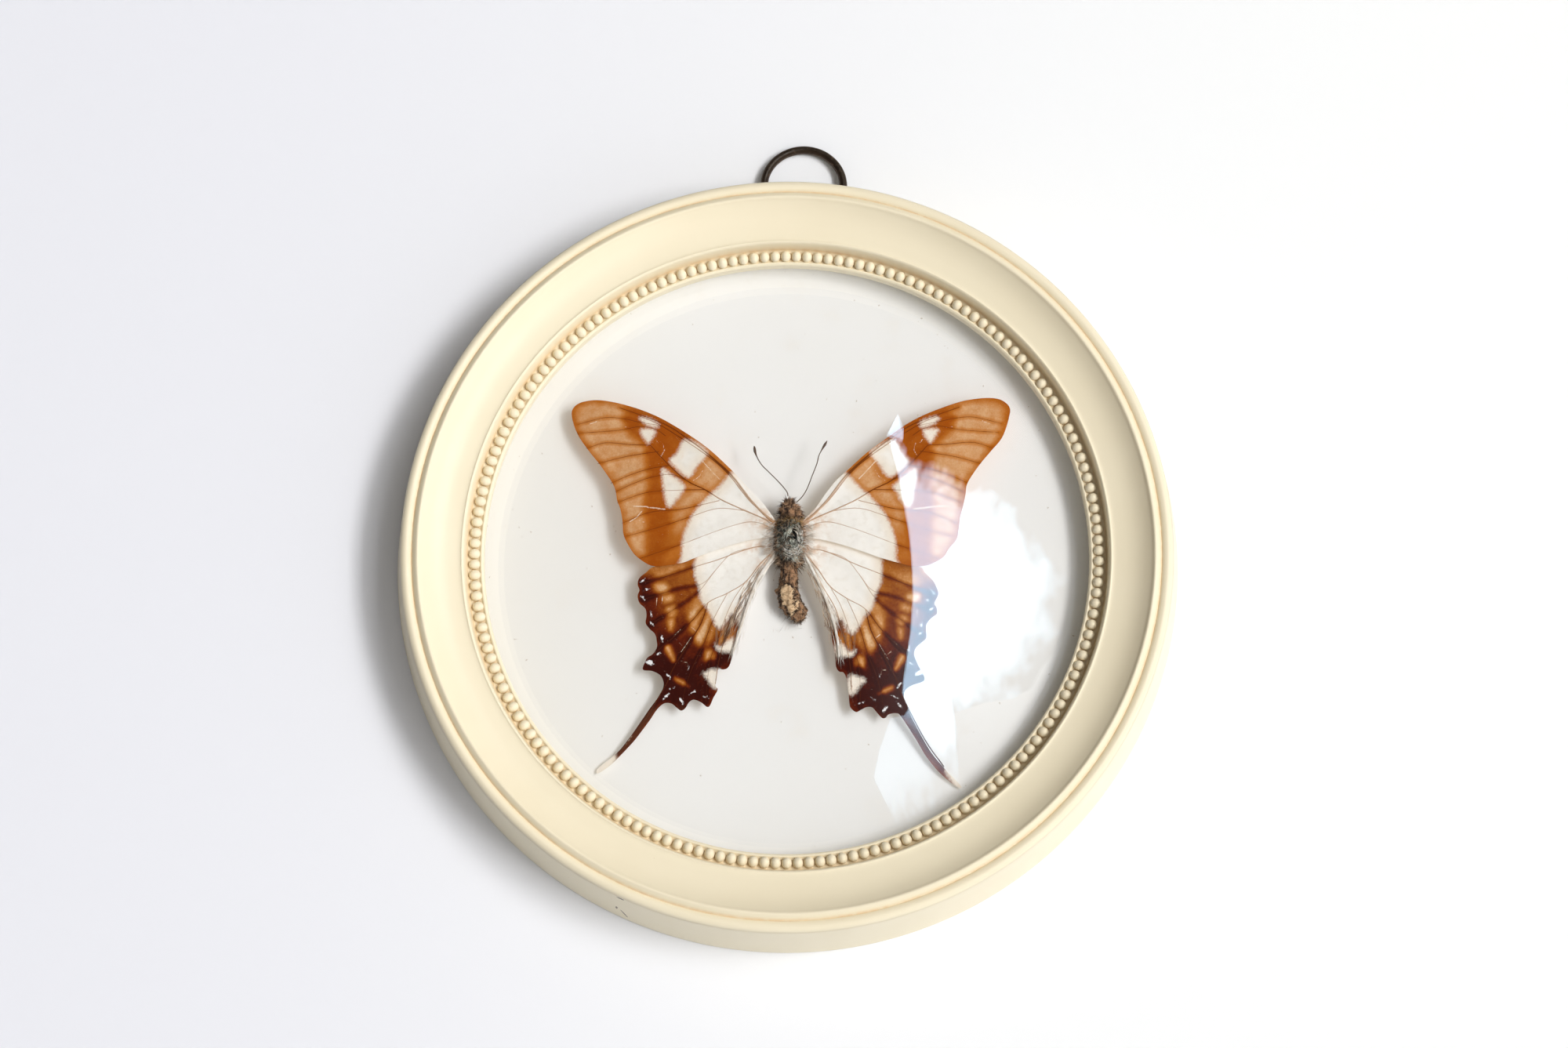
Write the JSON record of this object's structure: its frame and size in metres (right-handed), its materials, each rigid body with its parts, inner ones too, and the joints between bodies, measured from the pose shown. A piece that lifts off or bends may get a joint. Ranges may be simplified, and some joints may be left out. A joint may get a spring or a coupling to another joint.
{
  "type": "framed butterfly specimen",
  "caption": "Dried swallowtail butterfly with spread wings under domed glass in a round beaded cream frame, hung by a metal ring.",
  "frame": {"origin": "centre of the back board's outer face, in the back plane that the part rests on", "axes": "+Z out of the glass, +Y to the hanging ring at the top, +X to the viewer's right"},
  "size_m": [0.1538, 0.1639, 0.0193],
  "materials": {
    "frame_plastic": "cream moulded plastic, satin, slightly yellowed",
    "glass": "clear and polished",
    "card": "matt white card, slightly yellowed and specked",
    "board": "brown fibre board",
    "hanger_metal": "dark bronze, worn lighter on the edges",
    "forewing": "dry scales, faded orange brown bands and pale windows",
    "hindwing": "dry scales, dark red brown with pale lunules",
    "body": "hairy, dry, grey green and brown",
    "antenna": "dry and dark"
  },
  "bodies": {
    "case": {"frame": "frame_plastic", "convex_glass": "glass", "mount_card": "card", "back_board": "board", "hanger_staple": "hanger_metal", "left_forewing": "forewing", "right_forewing": "forewing", "left_hindwing": "hindwing", "right_hindwing": "hindwing", "body": "body", "left_antenna": "antenna", "right_antenna": "antenna"},
    "ring": {"hanging_ring": "hanger_metal"}
  },
  "joints": [
    {"name": "ring_hinge", "type": "hinge", "parent": "case", "child": "ring", "pos_m": [0.0004, 0.07015, 0.00235], "axis": [-1, 0, 0], "range_deg": [0, 90]}
  ]
}
